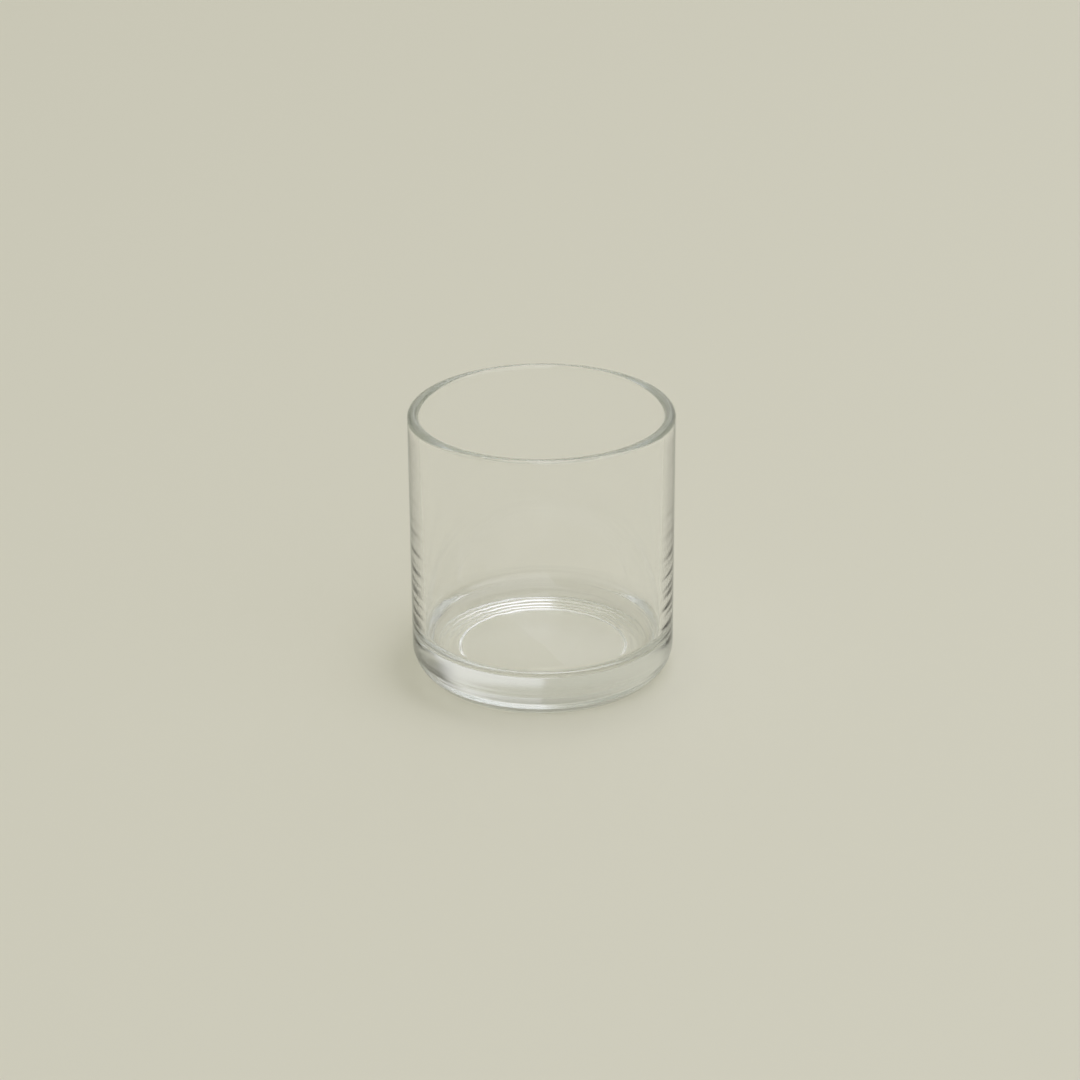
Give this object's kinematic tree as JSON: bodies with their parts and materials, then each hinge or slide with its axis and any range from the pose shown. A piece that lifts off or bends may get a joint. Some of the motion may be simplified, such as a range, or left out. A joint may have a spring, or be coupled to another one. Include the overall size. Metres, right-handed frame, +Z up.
{
  "type": "juice glass",
  "caption": "Clear straight-sided juice glass with a thick base, a round heel, a rounded lip and a shallow hollow inside a flat standing ring, for cold drinks.",
  "frame": {"origin": "centre of the standing ring, on the table", "axes": "+Z up along the axis of the glass, X and Y level; the glass is round, so any X serves"},
  "size_m": [0.076, 0.076, 0.0792],
  "materials": {
    "clear_glass": "polished clear soda-lime glass"
  },
  "bodies": {
    "root": {"tumbler": "clear_glass"}
  },
  "joints": []
}
